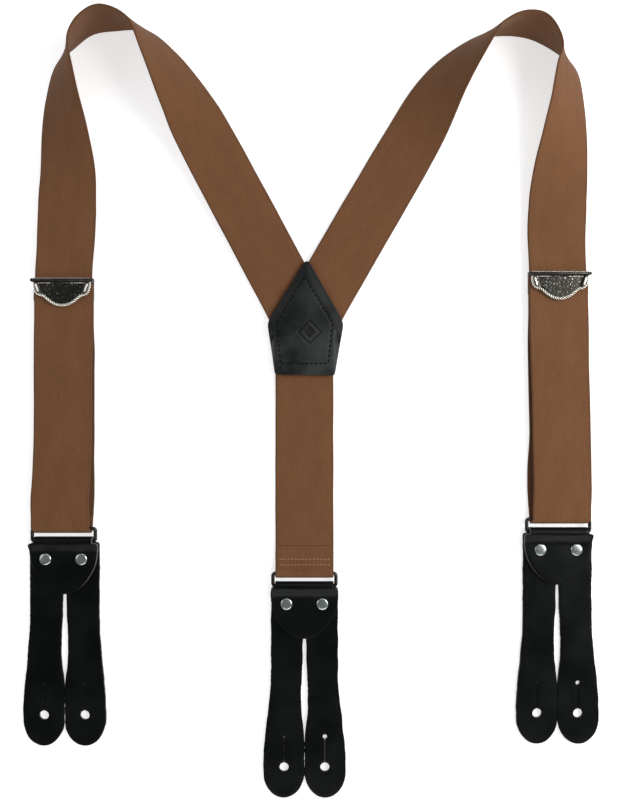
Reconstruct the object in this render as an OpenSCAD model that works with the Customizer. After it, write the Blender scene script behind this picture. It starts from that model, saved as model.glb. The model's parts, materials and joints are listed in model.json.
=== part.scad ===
// Y-back suspenders with leather button tabs, laid out flat with both shoulder
// loops turned up on edge. Millimetres, +Z up, the table is z = 0. The origin is
// under the middle of the back patch, +Y points to the shoulder loops and +X is
// to the right as the straps lie.

/* [Webbing] */
// Width of the elastic webbing
web_w = 38; // [34:1:38]
// Thickness of the webbing
web_t = 1.6; // [1.2:0.1:1.6]

/* [Rings] */
// Radius of the ring wire
wire_r = 1.2; // [1:0.1:1.2]
// Distance between the ring's two long bars
ring_drop = 8.2; // [8.2:0.2:9]

/* [Leather] */
// Thickness of the tab leather
hide_t = 2.5; // [2:0.1:2.5]
// Half width of a tab along its straight sides
tab_half = 22.1; // [22:0.1:23]
// Half width of a tab at its widest, across the two ears
ear_half = 26.9; // [26:0.1:28]
// Length of a tab from the ring bar to the ends of its ears
tab_len = 138.6; // [136:0.1:142]
// Radius of the button holes
button_r = 3.2; // [3:0.1:3.5]

/* [Adjusters] */
// Overall width of an adjuster frame
adjuster_w = 41; // [41:0.5:43]
// Radius of the lever's pivot pin
pin_r = 0.8; // [0.6:0.1:0.8]

/* [Hidden] */

web = "#6b4a33";
web_inside = "#54382a";
hide = "#1b1b1d";
dark_metal = "#2d2c2a";
bright_metal = "#d6d3cc";
black_thread = "#101012";
tan_thread = "#a5825e";

// Heights of the layers
gap = 0.2;                        // between a bar and what is folded round it
turn_in = wire_r + gap;           // inner radius of a fold round a ring bar
turn_out = turn_in + web_t;       // outer radius of a webbing fold
fold_out = turn_in + hide_t;      // outer radius of a leather fold
fold_reach = turn_in + 1.6;       // the fold is pared thinner at its far side
bar_z = hide_t + turn_in;         // axis of the ring bars
front_z = bar_z + turn_in;        // underside of the front run of webbing
return_z = bar_z - turn_out;      // underside of the return run of webbing
lining_t = 1.5;
end_gap = 0.1;                    // between webbing ends that meet
sliver = 0.05;                    // overlap of shapes that are joined

// Where each end lies: [x, y] of the ring's upper bar
left_bar = [-156.5, -134.6];
right_bar = [165, -128.5];
back_bar = [0, -163.7];
left_pivot_y = 26.3;
right_pivot_y = 30.6;
run_top = 70;                     // where the front straps lie flat
stub = 8;                         // webbing that goes with a ring, above its bar

// Each shoulder strap as [x, y, lift, tilt]: the height of its lower edge above
// the table, and how far the inner edge is turned up, in degrees
left_route = [
    [0, -2, 3.1, 0], [-24, 43.5, 1.6, 0], [-63, 116.5, 0, 14],
    [-76, 141.5, 0, 33], [-91, 168, 0, 56], [-105, 186, 0, 76],
    [-124, 191, 0, 91], [-138, 187, 0, 86], [-148, 176.5, 0, 78],
    [-154, 163.5, 0, 60], [-155.5, 143.5, 0, 44], [-155.5, 120.5, 1, 26],
    [-155.5, 98, 3, 11], [-156.5, 82, 4.6, 3], [-156.5, 70, 5.3, 0]];
right_route = [
    [0, -4, 3.1, 0], [27, 43.5, 1.6, 0], [68, 114, 0, 14],
    [90, 153, 0, 40], [113, 179, 0, 69], [126, 185.5, 0, 84],
    [139, 187.5, 0, 91], [151, 184, 0, 90], [163, 172, 0, 78],
    [168, 160, 0, 60], [170, 139, 0, 48], [169, 118, 1.2, 33],
    [166.5, 97, 3, 15], [165, 82, 4.6, 4], [165, 70, 5.3, 0]];
route_steps = 6;                  // stations between two points of a route

// Patch outline, from the right of the tip round to its left
patch_corners = [[2.9, 38.9], [25.6, -1], [19.7, -35.2], [-19.2, -34.6], [-24.2, -0.8],
                 [0.4, 38.9]];
patch_seam = [[0, 29], [18, -1.2], [15.4, -27.4], [-15.4, -27.4], [-18, -1.2]];
patch_z = lining_t + 2 * web_t + end_gap;
patch_rim = 1;
patch_dome = 2;
patch_flat = 0.82;                // share of the outline that is flat on top
lozenge = 6;                      // side of the sunk ornament
lozenge_at = [3, -7];
lozenge_depth = 0.4;

// Back strap, side view: underside as [y, z]
back_under = [[-14, 1.5], [-36, 1.5], [-58, 0.1], [-136, 0.1], [-146, 1.8]];
back_split = -146;                // where the sewn end of the back strap starts
back_tail_end = -150;             // end of the turned-back webbing
back_top_z = 3.45;                // top of the webbing where it is sewn

// Tab: v is the distance down from the ring's lower bar
neck_half = 18.9;
neck_end = 1.5;
shoulder_v = 3.4;
flare_start = 56;
flare_end = 117;
ear_r = ear_half / 2;
ear_long = 17;                    // length of an ear's rounded end
left_cut = 4.8;                   // the left tab is this much shorter
ear_gap = 0.2;                    // half the gap where the ears almost touch
slot_top = 35.4;
slot_wide_v = 77;
slot_end = 103.6;
slot_half_top = 0.95;
slot_half_wide = 2.2;
button_v = 118.7;
button_x = 13.3;
nick_v = 98.9;
nick_r = 1.4;
slit_half = 0.4;
flap_tip = 34.5;
flap_round = 6;                   // where the flap's sides start to round
flap_power = 0.55;                // how blunt its tip is
flap_arch = 3;                    // where the flap starts to come down
flap_down = 7.2;                  // where it lies on the tab
rivet_v = 11.7;
rivet_x = 11.65;
rivet_head_r = 3.95;
rivet_head_t = 1.3;
rivet_post_r = 1.5;
rivet_grip = 0.7;                 // of the post inside the cap
stud_r = 3.4;
stud_t = 0.6;
fit_gap = 0.05;

// Ring
ring_half = 20.5;                 // to the middle of the side wires
ring_corner = 1.8;

// Adjuster, y measured from the pivot
pivot_z = front_z + web_t + 2.1;
barrel_r = 1.4;
tooth_r = 1.9;
lever_half = 17.7;
lever_drop = 9.8;
lever_corner = 3.5;
lobe_r = 12.5;
lobe_y = -3.7;
lever_z = pivot_z - 1.5;
lever_t = 1.2;
trim_r = 1;
lever_root = 1;                   // where the cover leaves the barrel
trim_root = 2.3;                  // where the trim starts, clear of the ears
wide = 2 * adjuster_w;            // reaches past an adjuster on every side
rail_t = 1.2;
rail_in = adjuster_w / 2 - rail_t;
frame_bottom = -13;
wrap_bar_z = return_z + web_t + 0.1;
wrap_bar_t = 0.9;
wrap_bar_w = 1.6;
wrap_in = 0.55;
wrap_tail = -26;
wrap_rows = [-22, -18.5];         // the stitch rows across the wrapped end
ear_plate_r = 1.9;

// Stitches
stitch_t = 0.4;
web_stitch = 1.7;
web_pitch = 2.4;
stitched_w = web_w - 6;
back_rows = [-154.7, -158.4];
hide_stitch = 1.9;
hide_pitch = 3.2;

$fn = 48;

// ---------------------------------------------------------------- functions
function blend4(a, b, c, d, t) =
    0.5 * (2 * b + (c - a) * t + (2 * a - 5 * b + 4 * c - d) * t * t
           + (3 * b - a - 3 * c + d) * t * t * t);
function slope4(a, b, c, d, t) =
    0.5 * ((c - a) + 2 * (2 * a - 5 * b + 4 * c - d) * t
           + 3 * (3 * b - a - 3 * c + d) * t * t);
function point_at(route, i) =
    i < 0 ? 2 * route[0] - route[1]
    : i >= len(route) ? 2 * route[len(route) - 1] - route[len(route) - 2]
    : route[i];
function four(route, k) = [for (j = [-1 : 2]) point_at(route, k + j)];
// A corner of the webbing: across runs to the outer edge, up to the top face
function web_corner(p, d, side, across, up) =
    let (t = [d.x, d.y] / norm([d.x, d.y]), n = side * [t.y, -t.x],
         tilt = p[3], height = max(0, p[2]) + web_t / 2 * cos(tilt) + web_w / 2 * sin(tilt),
         a = across * web_w / 2, u = up * web_t / 2,
         flat = a * cos(tilt) + u * sin(tilt))
    [p.x + n.x * flat, p.y + n.y * flat, height - a * sin(tilt) + u * cos(tilt)];
corners = [[1, 1], [-1, 1], [-1, -1], [1, -1]];
function station(route, side, i) =
    let (last = len(route) - 2, k = min(last, floor(i / route_steps)), t = i / route_steps - k,
         q = four(route, k), p = blend4(q[0], q[1], q[2], q[3], t),
         d = slope4(q[0], q[1], q[2], q[3], t))
    [for (c = corners) web_corner(p, d, side, c[0], c[1])];
function smooth(t) = t * t * (3 - 2 * t);
function steps(a, b, n) = [for (i = [0 : n]) a + (b - a) * i / n];

// ---------------------------------------------------------------- shapes
module ribbon(route, side) {
    count = (len(route) - 1) * route_steps;
    points = [for (i = [0 : count]) each station(route, side, i)];
    walls = [for (i = [0 : count - 1], j = [0 : 3])
        let (a = 4 * i + j, b = 4 * i + (j + 1) % 4)
        each [[a, a + 4, b], [b, a + 4, b + 4]]];
    caps = [[0, 1, 2], [0, 2, 3],
            [4 * count, 4 * count + 2, 4 * count + 1],
            [4 * count, 4 * count + 3, 4 * count + 2]];
    faces = concat(walls, caps);
    turned = side > 0 ? faces : [for (f = faces) [f[0], f[2], f[1]]];
    polyhedron(points, turned, convexity = 8);
}

// A shoulder strap, mitred on the middle line where the two meet in the patch
module shoulder_strap(route, side) {
    reach = 400;                  // longer and higher than the strap
    difference() {
        ribbon(route, side);
        translate([side > 0 ? -end_gap : end_gap - reach, -reach / 2, -reach / 2])
            cube(reach);
    }
}

// A side view drawn as [y, z], made w wide along x
module across(w) {
    rotate([90, 0, 90]) linear_extrude(w, center = true) children();
}

module web_strip(y0, y1, z) {
    translate([-web_w / 2, y0, z]) cube([web_w, y1 - y0, web_t]);
}

// Webbing folded round a bar at the origin, leaving along +y
module web_turn(r_in, length) {
    across(web_w) difference() {
        union() {
            circle(r_in + web_t);
            translate([0, -r_in - web_t]) square([length, 2 * (r_in + web_t)]);
        }
        circle(r_in);
        translate([0, -r_in]) square([length + 1, 2 * r_in]);
    }
}

module stitch_row(w, pitch, length) {
    count = floor(w / pitch);
    for (i = [0 : count])
        translate([(i - count / 2) * pitch - length / 2, -stitch_t / 2, 0])
            cube([length, stitch_t, stitch_t]);
}

module ring() {
    for (y = [0, -ring_drop])
        translate([0, y, 0]) rotate([0, 90, 0])
            cylinder(h = 2 * (ring_half - ring_corner), r = wire_r, center = true);
    for (x = [-1, 1]) {
        translate([x * ring_half, -ring_drop / 2, 0]) rotate([90, 0, 0])
            cylinder(h = ring_drop - 2 * ring_corner, r = wire_r, center = true);
        translate([x * (ring_half - ring_corner), -ring_corner, 0])
            rotate([0, 0, x > 0 ? 0 : 90]) ring_bend();
        translate([x * (ring_half - ring_corner), ring_corner - ring_drop, 0])
            rotate([0, 0, x > 0 ? 270 : 180]) ring_bend();
    }
}

module ring_bend() {
    rotate_extrude(angle = 90) translate([ring_corner, 0]) circle(wire_r, $fn = 32);
}

// Half width of the tab's leather v below the bar, and of the slot between ears
function side_x(v) =
    v < flare_start ? tab_half
    : tab_half + (ear_half - tab_half) * smooth(min(1, (v - flare_start) / (flare_end - flare_start)));
function slot_x(v) =
    v < slot_wide_v
    ? slot_half_top + (slot_half_wide - slot_half_top) * smooth((v - slot_top) / (slot_wide_v - slot_top))
    : slot_half_wide + (ear_gap - slot_half_wide) * smooth(min(1, (v - slot_wide_v) / (slot_end - slot_wide_v)));
function flap_x(v) =
    let (t = max(0, (v - flap_round) / (flap_tip - flap_round))) tab_half * pow(1 - t * t, flap_power);

module mirrored_outline(half) {
    polygon(concat(half, [for (i = [len(half) - 1 : -1 : 0]) [-half[i].x, half[i].y]]));
}

// How far down a feature lies on a tab that is cut shorter between slot and ears
function down(v, cut) =
    v - cut * max(0, min(1, (v - slot_top) / (flare_start - slot_top)));

module tab_outline(cut) {
    ear_v = tab_len - cut - ear_long;
    button_y = -down(button_v, cut);
    nick_y = -down(nick_v, cut);
    difference() {
        union() {
            mirrored_outline(concat(
                [[neck_half, 0], [neck_half, -neck_end], [tab_half - 1, -neck_end],
                 [tab_half, -shoulder_v]],
                [for (v = steps(flare_start, flare_end, 12)) [side_x(v), -down(v, cut)]],
                [[ear_half, -ear_v]]));
            for (x = [-1, 1]) translate([x * ear_r, -ear_v])
                scale([1, ear_long / ear_r]) circle(ear_r, $fn = 96);
        }
        mirrored_outline(concat(
            [[slot_half_top, -slot_top]],
            [for (v = steps(slot_top, slot_end, 16)) [slot_x(v), -down(v, cut)]],
            [[ear_gap, -tab_len - 1]]));
        translate([0, -slot_top]) circle(slot_half_top);
        for (x = [-button_x, button_x]) {
            translate([x, button_y]) circle(button_r, $fn = 64);
            translate([x, nick_y]) circle(nick_r);
            translate([x - slit_half, button_y]) square([2 * slit_half, nick_y - button_y]);
        }
    }
}

module flap_outline() {
    mirrored_outline(concat(
        [[neck_half, 0], [neck_half, -neck_end], [tab_half - 1, -neck_end],
         [tab_half, -shoulder_v]],
        [for (v = steps(flap_round, flap_tip, 20)) [flap_x(v), -v]]));
}

// Side view of the flap from the fold down to where it lies on the tab
module flap_profile() {
    top = 2 * hide_t - bar_z;
    under = hide_t - sliver - bar_z;
    polygon([[0, turn_in], [0, fold_out], [-flap_arch, fold_out - gap], [-flap_down, top],
             [-flap_tip, top], [-flap_tip, under], [-flap_down, under],
             [-flap_arch, turn_in - gap]]);
}

// Side view of the leather going round the bar
module pared_fold() {
    difference() {
        scale([fold_reach / fold_out, 1]) circle(fold_out);
        circle(turn_in);
        translate([-fold_out - sliver, -fold_out]) square([fold_out, 2 * fold_out]);
    }
}

// Button tab, drawn about the ring's lower bar
module tab(cut = 0) {
    below = 1;
    difference() {
        union() {
            across(2 * neck_half) pared_fold();
            translate([0, 0, -bar_z]) linear_extrude(hide_t) tab_outline(cut);
            intersection() {
                across(2 * tab_half + 2) flap_profile();
                translate([0, 0, -bar_z]) linear_extrude(2 * bar_z) flap_outline();
            }
        }
        for (x = [-rivet_x, rivet_x]) translate([x, -rivet_v, -bar_z - below]) {
            cylinder(h = 3 * bar_z, r = rivet_post_r + fit_gap);
            cylinder(h = below + stud_t + fit_gap, r = stud_r + fit_gap);
        }
    }
}

module rivet_studs() {
    for (x = [-rivet_x, rivet_x]) translate([x, -rivet_v, -bar_z]) {
        cylinder(h = stud_t, r = stud_r);
        cylinder(h = 2 * hide_t + rivet_grip, r = rivet_post_r);
    }
}

module rivet_caps() {
    dome_r = (rivet_head_r * rivet_head_r + rivet_head_t * rivet_head_t) / (2 * rivet_head_t);
    for (x = [-rivet_x, rivet_x])
        translate([x, -rivet_v, 2 * hide_t - bar_z + fit_gap]) difference() {
            intersection() {
                translate([0, 0, rivet_head_t - dome_r]) sphere(dome_r, $fn = 96);
                cylinder(h = rivet_head_t, r = rivet_head_r);
            }
            translate([0, 0, -1]) cylinder(h = 1 + rivet_grip, r = rivet_post_r + fit_gap);
        }
}

module lever_outline(grow) {
    intersection() {
        union() {
            round_cornered(lever_half + grow, lever_drop + grow, lever_corner + grow);
            translate([0, lobe_y]) circle(lobe_r + grow, $fn = 96);
        }
        translate([-wide / 2, -wide]) square([wide, wide - lever_root]);
    }
}

// A plate open at the top, with its two lower corners rounded
module round_cornered(half, drop, corner) {
    translate([-half, corner - drop]) square([2 * half, drop - corner]);
    translate([corner - half, -drop]) square([2 * (half - corner), drop]);
    for (x = [-1, 1]) translate([x * (half - corner), corner - drop]) circle(corner);
}

module at_lever_plate() {
    translate([0, 0, lever_z - pivot_z]) children();
}

// Cover lever, drawn about its pivot axis
module lever() {
    barrel_half = rail_in - 0.3;
    tooth_w = 1.2;
    tooth_pitch = 2.4;
    tooth_count = 15;
    difference() {
        union() {
            rotate([0, 90, 0]) cylinder(h = 2 * barrel_half, r = barrel_r, center = true);
            at_lever_plate() linear_extrude(lever_t) lever_outline(-trim_r - fit_gap);
            for (i = [0 : tooth_count - 1])
                translate([(i - (tooth_count - 1) / 2) * tooth_pitch, 0, 0]) intersection() {
                    rotate([0, 90, 0]) cylinder(h = tooth_w, r = tooth_r, center = true);
                    translate([-tooth_w / 2, -tooth_w / 2, -tooth_r])
                        cube([tooth_w, tooth_w, tooth_r]);
                }
        }
        rotate([0, 90, 0]) cylinder(h = wide, r = pin_r + fit_gap, center = true);
    }
}

module lever_trim() {
    at_lever_plate() linear_extrude(2 * trim_r) intersection() {
        difference() {
            lever_outline(trim_r);
            lever_outline(-trim_r);
        }
        translate([-wide / 2, -wide]) square([wide, wide - trim_root]);
    }
}

module pivot_pin() {
    head_t = 0.5;
    head_r = pin_r + 0.4;
    half = adjuster_w / 2 + fit_gap;
    rotate([0, 90, 0]) cylinder(h = 2 * half, r = pin_r, center = true);
    for (x = [-half - head_t, half]) translate([x, 0, 0]) rotate([0, 90, 0])
        cylinder(h = head_t, r = head_r);
}

// Stamped frame: two rails with pivot ears, a clamping bar and a lower bar
module adjuster_frame() {
    low = wrap_bar_z - pivot_z;
    bar_top = front_z - gap - pivot_z;
    bar_half = 1.5;               // half the width of the clamping bar
    difference() {
        union() {
            for (x = [-1, 1]) translate([x * (rail_in + rail_t / 2), 0, 0]) {
                translate([-rail_t / 2, frame_bottom, low])
                    cube([rail_t, bar_half - frame_bottom, bar_top - low]);
                translate([-rail_t / 2, -ear_plate_r, low])
                    cube([rail_t, 2 * ear_plate_r, -low]);
                rotate([0, 90, 0]) cylinder(h = rail_t, r = ear_plate_r, center = true);
            }
            translate([-adjuster_w / 2, -bar_half, bar_top - bar_half])
                cube([adjuster_w, 2 * bar_half, bar_half]);
            translate([-adjuster_w / 2, frame_bottom, low])
                cube([adjuster_w, wrap_bar_w, wrap_bar_t]);
        }
        rotate([0, 90, 0]) cylinder(h = wide, r = pin_r + fit_gap, center = true);
    }
}

// End of the webbing, wrapped round the frame's lower bar and sewn to itself
module return_end() {
    bar_y = frame_bottom + wrap_bar_w - wrap_in / 2;
    axis_z = wrap_bar_z + wrap_bar_t / 2 - pivot_z;
    translate([0, bar_y, axis_z]) mirror([0, 1, 0])
        web_turn(wrap_in, bar_y - wrap_tail);
}

module end_stitching() {
    for (y = wrap_rows)
        translate([0, y, return_z - fit_gap - stitch_t - pivot_z])
            stitch_row(stitched_w, web_pitch, web_stitch);
}

// ---------------------------------------------------------------- patch
module patch_outline() {
    polygon(patch_corners);
}

module patch_front() {
    color(hide) difference() {
        hull() {
            translate([0, 0, patch_z]) linear_extrude(patch_rim) patch_outline();
            translate([0, 0.5, patch_z]) linear_extrude(patch_dome)
                scale(patch_flat) patch_outline();
        }
        translate([lozenge_at.x, lozenge_at.y, patch_z + patch_dome - lozenge_depth])
            rotate([0, 0, 45])
            translate([-lozenge / 2, -lozenge / 2, 0]) cube(lozenge);
    }
}

module patch_lining() {
    color(hide) linear_extrude(lining_t - fit_gap) patch_outline();
}

module patch_stitching() {
    corners_n = len(patch_seam);
    color(black_thread) for (i = [0 : corners_n - 1]) {
        a = patch_seam[i];
        b = patch_seam[(i + 1) % corners_n];
        run = norm(b - a);
        count = round(run / hide_pitch);
        for (k = [0 : count - 1]) {
            p = a + (b - a) * (k + 0.5) / count;
            translate([p.x, p.y, patch_z + patch_dome + fit_gap])
                rotate([0, 0, atan2(b.y - a.y, b.x - a.x)])
                    translate([-hide_stitch / 2, -stitch_t / 2, 0])
                        cube([hide_stitch, stitch_t, stitch_t]);
        }
    }
}

// ---------------------------------------------------------------- straps
module left_strap() {
    color(web) shoulder_strap(left_route, 1);
}

module right_strap() {
    color(web) shoulder_strap(right_route, -1);
}

module back_strap() {
    color(web) across(web_w) polygon(concat(
        back_under,
        [for (i = [len(back_under) - 1 : -1 : 0]) back_under[i] + [0, web_t]]));
}

module front_run(bar) {
    color(web) translate([bar.x, 0, 0])
        web_strip(bar.y + stub + end_gap, run_top - end_gap, front_z);
}

module return_run(bar, pivot_y) {
    color(web_inside) translate([bar.x, 0, 0])
        web_strip(bar.y + stub + end_gap, pivot_y + wrap_tail - end_gap, return_z);
}

module at_bar(bar) {
    translate([bar.x, bar.y, bar_z]) children();
}

module at_lower_bar(bar) {
    translate([bar.x, bar.y - ring_drop, bar_z]) children();
}

module at_pivot(bar, pivot_y) {
    translate([bar.x, pivot_y, pivot_z]) children();
}

// Sewn end of the back strap, drawn about its ring bar: the webbing with the space
// between its two layers cut out
module back_turn_shape() {
    knee = 5;                     // where the two layers meet
    past = 1;
    split = back_split - end_gap - back_bar.y;
    tail = back_tail_end - back_bar.y;
    top = back_top_z - bar_z;
    under = top - web_t;
    tail_top = under - gap;
    tail_under = tail_top - web_t;
    difference() {
        union() {
            across(web_w) circle(turn_out);
            across(web_w) polygon([[0, turn_out], [1.8, 2.55], [knee, top], [split, top],
                                   [split, under], [tail, under], [tail, tail_under],
                                   [knee, tail_under], [0, -turn_out]]);
        }
        across(2 * web_w) circle(turn_in);
        across(2 * web_w) polygon([[0, turn_in], [0.9, 1.25], [knee - 0.5, under],
                                   [tail + past, under], [tail + past, tail_top],
                                   [knee - 0.5, tail_top], [0, -turn_in]]);
    }
}

// ---------------------------------------------------------------- nodes
module left_front_run() front_run(left_bar);
module left_ring_turn() color(web) at_bar(left_bar) web_turn(turn_in, stub);
module left_return_run() return_run(left_bar, left_pivot_y);
module left_return_end() color(web_inside) at_pivot(left_bar, left_pivot_y) return_end();
module left_end_stitching() color(tan_thread) at_pivot(left_bar, left_pivot_y) end_stitching();
module left_adjuster_frame() color(dark_metal) at_pivot(left_bar, left_pivot_y) adjuster_frame();
module left_pivot_pin() color(bright_metal) at_pivot(left_bar, left_pivot_y) pivot_pin();
module left_lever() color(dark_metal) at_pivot(left_bar, left_pivot_y) lever();
module left_lever_trim() color(bright_metal) at_pivot(left_bar, left_pivot_y) lever_trim();
module left_ring() color(dark_metal) at_bar(left_bar) ring();
module left_tab() color(hide) at_lower_bar(left_bar) tab(left_cut);
module left_rivet_caps() color(bright_metal) at_lower_bar(left_bar) rivet_caps();
module left_rivet_studs() color(bright_metal) at_lower_bar(left_bar) rivet_studs();

module right_front_run() front_run(right_bar);
module right_ring_turn() color(web) at_bar(right_bar) web_turn(turn_in, stub);
module right_return_run() return_run(right_bar, right_pivot_y);
module right_return_end() color(web_inside) at_pivot(right_bar, right_pivot_y) return_end();
module right_end_stitching() color(tan_thread) at_pivot(right_bar, right_pivot_y) end_stitching();
module right_adjuster_frame() color(dark_metal) at_pivot(right_bar, right_pivot_y) adjuster_frame();
module right_pivot_pin() color(bright_metal) at_pivot(right_bar, right_pivot_y) pivot_pin();
module right_lever() color(dark_metal) at_pivot(right_bar, right_pivot_y) lever();
module right_lever_trim() color(bright_metal) at_pivot(right_bar, right_pivot_y) lever_trim();
module right_ring() color(dark_metal) at_bar(right_bar) ring();
module right_tab() color(hide) at_lower_bar(right_bar) tab();
module right_rivet_caps() color(bright_metal) at_lower_bar(right_bar) rivet_caps();
module right_rivet_studs() color(bright_metal) at_lower_bar(right_bar) rivet_studs();

module back_ring_turn() color(web) at_bar(back_bar) back_turn_shape();
module back_end_stitching() {
    color(tan_thread) for (y = back_rows)
        translate([back_bar.x, y, back_top_z + fit_gap])
            stitch_row(stitched_w, web_pitch, web_stitch);
}
module back_ring() color(dark_metal) at_bar(back_bar) ring();
module back_tab() color(hide) at_lower_bar(back_bar) tab();
module back_rivet_caps() color(bright_metal) at_lower_bar(back_bar) rivet_caps();
module back_rivet_studs() color(bright_metal) at_lower_bar(back_bar) rivet_studs();

patch_front();
patch_lining();
patch_stitching();
left_strap();
right_strap();
back_strap();
left_front_run();
left_ring_turn();
left_return_run();
left_return_end();
left_end_stitching();
left_adjuster_frame();
left_pivot_pin();
left_lever();
left_lever_trim();
left_ring();
left_tab();
left_rivet_caps();
left_rivet_studs();
right_front_run();
right_ring_turn();
right_return_run();
right_return_end();
right_end_stitching();
right_adjuster_frame();
right_pivot_pin();
right_lever();
right_lever_trim();
right_ring();
right_tab();
right_rivet_caps();
right_rivet_studs();
back_ring_turn();
back_end_stitching();
back_ring();
back_tab();
back_rivet_caps();
back_rivet_studs();
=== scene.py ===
"""Looks of the suspenders: webbing, leather, thread and metal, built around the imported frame.

Lengths are in millimetres until a mesh is made. +Z is up from the table, +Y runs to the
shoulder loops, and the origin is under the middle of the back patch.
"""
import json
import math
import random

import bmesh
import bpy
import numpy as np
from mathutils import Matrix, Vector, noise
from mathutils.geometry import delaunay_2d_cdt
from mathutils.kdtree import KDTree


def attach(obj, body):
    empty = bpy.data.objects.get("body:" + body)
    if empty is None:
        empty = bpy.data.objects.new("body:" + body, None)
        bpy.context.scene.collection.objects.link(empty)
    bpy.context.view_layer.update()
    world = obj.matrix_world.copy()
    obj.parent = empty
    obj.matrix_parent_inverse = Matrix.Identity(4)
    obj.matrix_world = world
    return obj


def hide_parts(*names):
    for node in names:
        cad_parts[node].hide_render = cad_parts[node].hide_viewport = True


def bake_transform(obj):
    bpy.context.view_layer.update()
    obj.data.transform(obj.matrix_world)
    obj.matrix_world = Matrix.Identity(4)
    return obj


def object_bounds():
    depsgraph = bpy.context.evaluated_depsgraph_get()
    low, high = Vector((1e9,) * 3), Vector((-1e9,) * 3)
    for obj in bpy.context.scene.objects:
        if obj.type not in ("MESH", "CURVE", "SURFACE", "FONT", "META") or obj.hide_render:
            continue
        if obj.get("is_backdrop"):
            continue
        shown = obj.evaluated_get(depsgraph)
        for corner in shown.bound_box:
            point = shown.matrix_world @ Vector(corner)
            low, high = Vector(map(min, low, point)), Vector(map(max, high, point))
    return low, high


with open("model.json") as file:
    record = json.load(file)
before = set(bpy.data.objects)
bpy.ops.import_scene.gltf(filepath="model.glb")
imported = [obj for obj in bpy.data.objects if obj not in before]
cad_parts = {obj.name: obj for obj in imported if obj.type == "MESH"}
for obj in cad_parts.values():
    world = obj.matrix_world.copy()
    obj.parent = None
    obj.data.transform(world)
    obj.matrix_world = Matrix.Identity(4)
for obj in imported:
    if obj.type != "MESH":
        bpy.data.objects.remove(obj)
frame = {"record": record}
cad_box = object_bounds()

MM = 0.001
random.seed(7)

# ------------------------------------------------------------------ sizes, as in part.scad
WEB_W, WEB_T = 38, 1.6
HIDE_T = 2.5
WIRE_R = 1.2
RING_HALF, RING_CORNER = 20.5, 1.8
TURN_IN = 1.4                     # inner radius of a fold round a ring bar
BAR_Z = HIDE_T + TURN_IN          # axis of the ring bars
FRONT_Z = BAR_Z + TURN_IN         # underside of the front run
RETURN_Z = BAR_Z - TURN_IN - WEB_T
RUN_TOP = 70                      # where the straight front run begins
STUB = 8                          # the webbing that stays at the ring, above its bar
SIDE = {"left": 1, "right": -1}   # the way towards the middle


def joint_place(name):
    """Where a joint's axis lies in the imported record, in millimetres."""
    joint = next(j for j in frame["record"]["behaviour"]["joints"] if j["name"] == name)
    return [round(c / MM, 3) for c in joint["pos_m"]]


BARS = {side: joint_place(f"{side}_ring_swing")[:2] for side in ("left", "right", "back")}
RING_DROP = round(BARS["back"][1] - joint_place("back_tab_swing")[1], 3)
PIVOT_Y = {side: joint_place(f"{side}_lever_flip")[1] for side in ("left", "right")}
PIVOT_Z = joint_place("left_lever_flip")[2]

# [x, y, height of the lower edge, how far the inner edge is turned up in degrees]
ROUTES = {
    "left": [
        (0, -2, 3.1, 0), (-24, 43.5, 1.6, 0), (-63, 116.5, 0, 14), (-76, 141.5, 0, 33),
        (-91, 168, 0, 56), (-105, 186, 0, 76), (-124, 191, 0, 91), (-138, 187, 0, 86),
        (-148, 176.5, 0, 78), (-154, 163.5, 0, 60), (-155.5, 143.5, 0, 44),
        (-155.5, 120.5, 1, 26), (-155.5, 98, 3, 11), (-156.5, 82, 4.6, 3),
        (-156.5, 70, 5.3, 0)],
    "right": [
        (0, -4, 3.1, 0), (27, 43.5, 1.6, 0), (68, 114, 0, 14), (90, 153, 0, 40),
        (113, 179, 0, 69), (126, 185.5, 0, 84), (139, 187.5, 0, 91), (151, 184, 0, 90),
        (163, 172, 0, 75), (168, 160, 0, 55), (170, 139, 0, 42), (169, 118, 1.2, 28),
        (166.5, 97, 3, 13), (165, 82, 4.6, 4), (165, 70, 5.3, 0)],
}
ARCH_END = 10                     # the route point where the front part begins


# ------------------------------------------------------------------ camera
def add_camera():
    """Looks straight down, a little off the patch, from about arm's length."""
    data = bpy.data.cameras.new("camera")
    data.sensor_fit = "VERTICAL"
    data.sensor_height = 36
    data.lens = 40.2
    data.clip_start = 0.01
    camera = bpy.data.objects.new("camera", data)
    camera.location = (0.00524, -0.0511, 0.585)
    bpy.context.scene.collection.objects.link(camera)
    bpy.context.scene.camera = camera


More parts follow.
